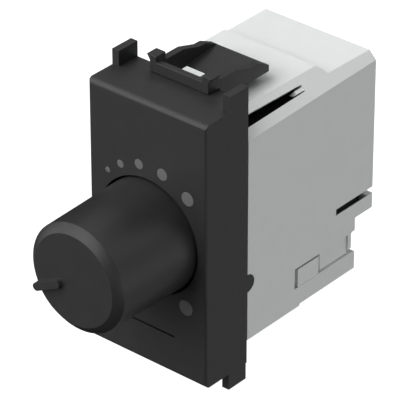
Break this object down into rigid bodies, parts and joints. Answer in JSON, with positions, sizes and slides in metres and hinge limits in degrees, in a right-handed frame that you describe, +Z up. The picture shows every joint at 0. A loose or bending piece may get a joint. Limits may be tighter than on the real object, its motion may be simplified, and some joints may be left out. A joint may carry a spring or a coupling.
{
  "type": "rotary dimmer module",
  "caption": "Wall-frame dimmer module: narrow black bezel with a turn-and-push knob, growing scale dots and a top release latch, on a grey housing with screw terminals.",
  "frame": {"origin": "on the knob axis, in the plane of the four lugs' bearing faces, where the support frame holds the module", "axes": "+X right seen from the front, +Y into the wall along the knob axis, +Z up"},
  "size_m": [0.0226, 0.0569, 0.0508],
  "materials": {
    "black_plastic": "fine matt texture",
    "knob_plastic": "fine matt texture",
    "scale_inlay": "smooth matt",
    "clear_plastic": "smoky clear",
    "grey_plastic": "fine matt texture",
    "white_plastic": "smooth",
    "red_plastic": "smooth",
    "yellow_plastic": "satin",
    "blue_sleeve": "glossy sleeve",
    "blue_lacquer": "dipped lacquer",
    "white_ceramic": "glazed",
    "black_moulding": "matt epoxy",
    "phenolic": "matt",
    "carbon_track": "matt",
    "lamp_plastic": "clear",
    "board_laminate": "solder resist",
    "ferrite": "sintered",
    "copper_wire": "enamelled",
    "copper_alloy": "bright",
    "brass_bar": "drawn",
    "plated_brass": "plated",
    "spring_steel": "bright",
    "zinc_steel": "zinc plated",
    "zinc_alloy": "die cast",
    "shaft_alloy": "turned",
    "aluminium_plate": "rolled"
  },
  "bodies": {
    "module": {"front_bezel": "black_plastic", "scale_dots": "scale_inlay", "light_guide": "clear_plastic", "bushing_nut": "plated_brass", "lock_washer": "spring_steel", "pot_bushing": "zinc_alloy", "pot_case": "phenolic", "resistance_track": "carbon_track", "pot_pins": "plated_brass", "switch_case": "white_plastic", "return_spring": "spring_steel", "circuit_board": "board_laminate", "locator_lamp": "lamp_plastic", "controller_chip": "black_moulding", "surface_mount_parts": "black_moulding", "choke_core": "ferrite", "choke_winding": "copper_wire", "film_capacitor": "yellow_plastic", "smoothing_capacitor": "blue_sleeve", "varistor": "blue_lacquer", "fuse": "white_ceramic", "triac": "black_moulding", "heatsink_plate": "aluminium_plate", "heatsink_screw": "zinc_steel", "contact_bar_left": "brass_bar", "contact_bar_middle": "brass_bar", "contact_bar_right": "brass_bar", "housing": "grey_plastic", "rear_cover": "grey_plastic", "latch_spring": "spring_steel"},
    "rotor": {"pot_rotor": "white_plastic", "wiper": "copper_alloy"},
    "knob": {"knob": "knob_plastic", "knob_spring_ring": "spring_steel", "control_shaft": "shaft_alloy"},
    "plunger": {"switch_plunger": "red_plastic"},
    "latch": {"release_latch": "black_plastic"},
    "cage_left": {"clamp_cage_left": "zinc_steel"},
    "screw_left": {"terminal_screw_left": "zinc_steel"},
    "cage_middle": {"clamp_cage_middle": "zinc_steel"},
    "screw_middle": {"terminal_screw_middle": "zinc_steel"},
    "cage_right": {"clamp_cage_right": "zinc_steel"},
    "screw_right": {"terminal_screw_right": "zinc_steel"}
  },
  "joints": [
    {"name": "knob_turn", "type": "hinge", "parent": "module", "child": "rotor", "pos_m": [0, 0, 0], "axis": [0, 1, 0], "range_deg": [-30, 260]},
    {"name": "knob_push", "type": "slide", "parent": "rotor", "child": "knob", "axis": [0, 1, 0], "range_m": [0, 0.0012], "stiffness_N_per_m": 2500, "springref_m": -0.0005},
    {"name": "plunger_slide", "type": "slide", "parent": "module", "child": "plunger", "axis": [0, 1, 0], "range_m": [0, 0.0012], "deforming": ["return_spring"]},
    {"name": "latch_press", "type": "hinge", "parent": "module", "child": "latch", "pos_m": [0, 0.0056, 0.0207], "axis": [-1, 0, 0], "range_deg": [0, 5], "stiffness_Nm_per_rad": 0.3, "springref_deg": -5.73},
    {"name": "clamp_drop_left", "type": "slide", "parent": "module", "child": "cage_left", "axis": [0, 0, -1], "range_m": [0, 0.0022]},
    {"name": "screw_turn_left", "type": "hinge", "parent": "module", "child": "screw_left", "pos_m": [-0.0064, 0.0243, -0.016], "axis": [0, 0, 1], "range_deg": [0, 1600]},
    {"name": "clamp_drop_middle", "type": "slide", "parent": "module", "child": "cage_middle", "axis": [0, 0, -1], "range_m": [0, 0.0022]},
    {"name": "screw_turn_middle", "type": "hinge", "parent": "module", "child": "screw_middle", "pos_m": [0, 0.0243, -0.016], "axis": [0, 0, 1], "range_deg": [0, 1600]},
    {"name": "clamp_drop_right", "type": "slide", "parent": "module", "child": "cage_right", "axis": [0, 0, -1], "range_m": [0, 0.0022]},
    {"name": "screw_turn_right", "type": "hinge", "parent": "module", "child": "screw_right", "pos_m": [0.0064, 0.0243, -0.016], "axis": [0, 0, 1], "range_deg": [0, 1600]}
  ],
  "couplings": [
    {"joint": "plunger_slide", "follows": "knob_push", "ratio": 1},
    {"joint": "screw_turn_left", "follows": "clamp_drop_left", "rad_per_m": 12566},
    {"joint": "screw_turn_middle", "follows": "clamp_drop_middle", "rad_per_m": 12566},
    {"joint": "screw_turn_right", "follows": "clamp_drop_right", "rad_per_m": 12566}
  ]
}
